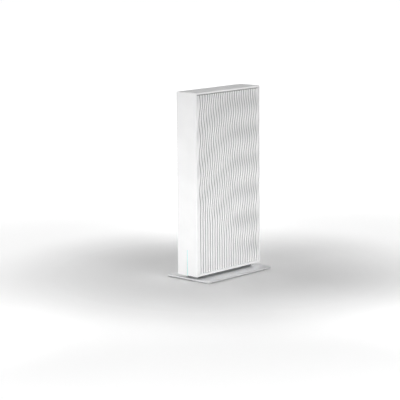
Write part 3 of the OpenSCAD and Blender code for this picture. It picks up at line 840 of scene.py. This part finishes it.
def circuit_board(name):
    """Solder mask in two greens, crossed by the paler lines of fine tracks."""
    mat, tree, bsdf = new_material(name, Specular_IOR_Level=0.5)
    coords = tree.nodes.new("ShaderNodeTexCoord")
    turn = tree.nodes.new("ShaderNodeMapping")
    turn.inputs["Rotation"].default_value = (0, math.pi / 2, 0)
    tracks = tree.nodes.new("ShaderNodeTexBrick")
    tracks.inputs["Scale"].default_value = 120
    tracks.inputs["Mortar Size"].default_value = 0.03
    tracks.inputs["Color1"].default_value = (0.012, 0.085, 0.05, 1)
    tracks.inputs["Color2"].default_value = (0.016, 0.11, 0.065, 1)
    tracks.inputs["Mortar"].default_value = (0.03, 0.17, 0.10, 1)
    tree.links.new(coords.outputs["Object"], turn.inputs["Vector"])
    tree.links.new(turn.outputs["Vector"], tracks.inputs["Vector"])
    tree.links.new(tracks.outputs["Color"], bsdf.inputs["Base Color"])
    tree.links.new(remap(tree, noise(tree, 900, 2), 0.25, 0.4), bsdf.inputs["Roughness"])
    bump(tree, bsdf, tracks.outputs["Fac"], 0.2, TRACK_H)
    return mat


def lit_guide(name):
    """Milky clear plastic with a faint cyan glow."""
    mat, tree, bsdf = new_material(name, Emission_Strength=0.2)
    cloud = remap(tree, noise(tree, 300, 2), 0, 1)
    plastic = two_tone(tree, cloud, (0.44, 0.62, 0.61), (0.48, 0.66, 0.65))
    glow = two_tone(tree, cloud, (0.50, 0.78, 0.76), (0.56, 0.84, 0.82))
    tree.links.new(plastic, bsdf.inputs["Base Color"])
    tree.links.new(glow, bsdf.inputs["Emission Color"])
    tree.links.new(remap(tree, noise(tree, 2000, 2), 0.25, 0.4), bsdf.inputs["Roughness"])
    return mat


def make_materials():
    """Every material by its slot name."""
    white = (0.808, 0.808, 0.81)
    return {
        "white_shell": moulded("white_shell", white, 0.42, relief=0.04),
        # the ribbed panels carry a painted shade in their grooves, down to 0.48 of the white at the floors
        "white_panel": painted_groove_shade(moulded("white_panel", white, 0.45, relief=0.05), 0.48),
        "dark_neck": moulded("dark_neck", (0.16, 0.165, 0.17), 0.5),
        "stand_metal": metal("stand_metal", (0.785, 0.79, 0.80), 0.37, stretch=(6, 0.25, 1), grain=900,
                             relief=0.01, Metallic=0.6),
        "rubber": moulded("rubber", (0.018, 0.018, 0.02), 0.8, grain=4000, relief=0.2),
        "zinc_screw": metal("zinc_screw", (0.62, 0.63, 0.66), 0.3),
        "label_paper": moulded("label_paper", (0.72, 0.73, 0.74), 0.7, grain=5000, relief=0.15),
        "light_guide": lit_guide("light_guide"),
        "led_package": moulded("led_package", (0.80, 0.80, 0.70), 0.3),
        "board_green": circuit_board("board_green"),
        "chip_black": moulded("chip_black", (0.02, 0.02, 0.022), 0.55, grain=6000, relief=0.1),
        "tin_shield": metal("tin_shield", (0.68, 0.68, 0.66), 0.35, stretch=(1, 0.2, 4)),
        "gap_pad": moulded("gap_pad", (0.30, 0.45, 0.55), 0.8),
        "sink_metal": metal("sink_metal", (0.70, 0.71, 0.72), 0.4, stretch=(1, 4, 0.2)),
        "nylon_pin": moulded("nylon_pin", (0.70, 0.70, 0.66), 0.5),
        "ferrite": moulded("ferrite", (0.05, 0.05, 0.055), 0.7, grain=5000, relief=0.2),
        "capacitor_can": metal("capacitor_can", (0.74, 0.75, 0.76), 0.25),
        # painted shade: the socket housing behind the white bezel is dark grey, standing in for the shade
        # inside the socket mouths
        "socket_grey": moulded("socket_grey", (0.11, 0.115, 0.12), 0.5),
        "socket_white": moulded("socket_white", white, 0.4),
        "gold_contact": metal("gold_contact", (0.83, 0.62, 0.28), 0.25, relief=0.02),
        "inlet_black": moulded("inlet_black", (0.008, 0.008, 0.009), 0.45),
        "inlet_pin_metal": metal("inlet_pin_metal", (0.55, 0.55, 0.53), 0.3),
        "white_button": moulded("white_button", (0.788, 0.788, 0.79), 0.4),
        "switch_black": moulded("switch_black", (0.02, 0.02, 0.022), 0.5),
        "antenna_laminate": circuit_board("antenna_laminate"),
        "bracket_plastic": moulded("bracket_plastic", (0.62, 0.62, 0.60), 0.5),
        "cable_jacket": moulded("cable_jacket", (0.02, 0.02, 0.022), 0.35),
        "dark_mark": moulded("dark_mark", (0.28, 0.295, 0.31), 0.5, mottle=0.04),
        "pale_mark": moulded("pale_mark", (0.60, 0.61, 0.62), 0.5, mottle=0.04),
    }


def dress(materials):
    """Every CAD node and every new piece takes the material of its record slot."""
    slots = {row["node"]: row["material_slot"] for row in frame["record"]["subparts"]}
    for name, obj in frame["nodes"].items():
        obj.data.materials.clear()
        obj.data.materials.append(materials[slots[name]])
    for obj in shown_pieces():
        if "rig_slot" in obj:
            obj.data.materials.clear()
            obj.data.materials.append(materials[obj["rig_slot"]])


# ---------------------------------------------------------------- floor, light and camera

# Distances from the router in metres: where the floor's painted shadow round the router gives way to a paler
# floor, and how much the floor glows further out as painted light
FLOOR_SHADOW_FADE = (0.08, 0.18)
FLOOR_PAINTED_GLOW = ((0.14, 0.0), (0.27, 0.28), (0.60, 0.5), (1.0, 0.9))

# The camera, fitted to the corners of the router as the reference shows it
CAMERA_PLACE = (1.0766, -1.1993, 0.3552)
CAMERA_HEADING = (-0.6769, 0.7360, 0)
CAMERA_PITCH_DEG = -9.877
CAMERA_ROLL_DEG = -0.507
CAMERA_LENS = 146.69


def make_floor():
    """A pale floor with a painted shadow, light grey round the router and paler further out, and a painted
    glow that grows with distance up to white.
    """
    bm = bmesh.new()
    bmesh.ops.create_circle(bm, cap_ends=True, segments=96, radius=6)
    mesh = bpy.data.meshes.new("floor")
    bm.to_mesh(mesh)
    bm.free()
    floor = bpy.data.objects.new("floor", mesh)
    bpy.context.scene.collection.objects.link(floor)
    mat, tree, bsdf = new_material("floor", Roughness=0.6, Specular_IOR_Level=0.3)
    coords = tree.nodes.new("ShaderNodeTexCoord")
    distance = tree.nodes.new("ShaderNodeVectorMath")
    distance.operation = "LENGTH"
    tree.links.new(coords.outputs["Object"], distance.inputs[0])
    # painted shadow: the floor's colour is darker close to the router
    shadow_fade = remap(tree, distance.outputs["Value"], 0, 1, *FLOOR_SHADOW_FADE, "SMOOTHSTEP")
    tree.links.new(two_tone(tree, shadow_fade, (0.72, 0.72, 0.72), (0.95, 0.95, 0.95)), bsdf.inputs["Base Color"])
    # painted light: the floor glows, more and more with distance from the router
    glow = tree.nodes.new("ShaderNodeValToRGB")
    glow.color_ramp.interpolation = "EASE"
    for index, (place, level) in enumerate(FLOOR_PAINTED_GLOW):
        stop = glow.color_ramp.elements[index] if index < 2 else glow.color_ramp.elements.new(place)
        stop.position, stop.color = place, (level, level, level, 1)
    tree.links.new(distance.outputs["Value"], glow.inputs["Fac"])
    tree.links.new(glow.outputs["Color"], bsdf.inputs["Emission Color"])
    bsdf.inputs["Emission Strength"].default_value = 1.0
    mesh.materials.append(mat)
    return floor


def area_light(name, place, aim, size, power, spread_deg=180):
    """A round soft light that the camera doesn't see itself."""
    data = bpy.data.lights.new(name, "AREA")
    data.shape = "DISK"
    data.size = size
    data.energy = power
    data.spread = math.radians(spread_deg)
    obj = bpy.data.objects.new(name, data)
    obj.location = place
    obj.rotation_euler = (Vector(aim) - Vector(place)).to_track_quat("-Z", "Y").to_euler()
    obj.visible_camera = False
    bpy.context.scene.collection.objects.link(obj)
    return obj


def make_lights():
    """Broad soft boxes above, two small low lights for the casing's foot, one that the plate mirrors, and
    a dim sky that is white near the horizon."""
    centre, foot = (0, 0, 0.09), (0, 0, 0.015)
    area_light("left_box", (-1.5, -0.5, 0.8), centre, 1.8, 14)
    area_light("top_box", (0, 0, 1.6), centre, 1.2, 5)
    area_light("right_box", (0.8, -0.3, 1.3), centre, 0.8, 6)
    area_light("rear_box", (-0.3, 1.8, 0.7), centre, 1.2, 7)
    area_light("low_right", (0.50, -0.05, 0.06), foot, 0.12, 0.1, 50)
    area_light("low_front", (0.02, -0.55, 0.06), foot, 0.12, 0.104, 50)
    area_light("low_rear", (-0.42, 0.44, 0.10), foot, 0.15, 0.33)
    world = bpy.data.worlds.new("studio")
    bpy.context.scene.world = world
    world.use_nodes = True
    tree = world.node_tree
    coords = tree.nodes.new("ShaderNodeTexCoord")
    split = tree.nodes.new("ShaderNodeSeparateXYZ")
    tree.links.new(coords.outputs["Generated"], split.inputs[0])
    height = remap(tree, split.outputs["Z"], 0, 1, 0.0, 0.14)
    sky = two_tone(tree, height, (1, 1, 1), (0.1, 0.1, 0.1))
    background = tree.nodes["Background"]
    tree.links.new(sky, background.inputs["Color"])
    background.inputs["Strength"].default_value = 1.0


def make_camera():
    """At the viewing angle of the reference: round the front corner and a little above."""
    data = bpy.data.cameras.new("camera")
    data.sensor_width = 36
    data.lens = CAMERA_LENS
    camera = bpy.data.objects.new("camera", data)
    heading = Vector(CAMERA_HEADING).normalized()
    pitch = math.radians(CAMERA_PITCH_DEG)
    roll = math.radians(CAMERA_ROLL_DEG)
    ahead = heading * math.cos(pitch) + Vector((0, 0, math.sin(pitch)))
    turn = ahead.to_track_quat("-Z", "Y").to_matrix().to_4x4() @ Matrix.Rotation(roll, 4, "Z")
    camera.matrix_world = Matrix.Translation(CAMERA_PLACE) @ turn
    bpy.context.scene.collection.objects.link(camera)
    bpy.context.scene.camera = camera
    bpy.context.scene.view_settings.view_transform = "Standard"


make_camera()
make_casing()
make_side_panel("right_panel", "right_side_panel", 1)
make_side_panel("left_panel", "left_side_panel", -1)
make_light_guide()
make_stand()
make_feet()
make_sockets()
make_contacts()
make_inlet()
make_button()
dress(make_materials())
make_floor()
make_lights()
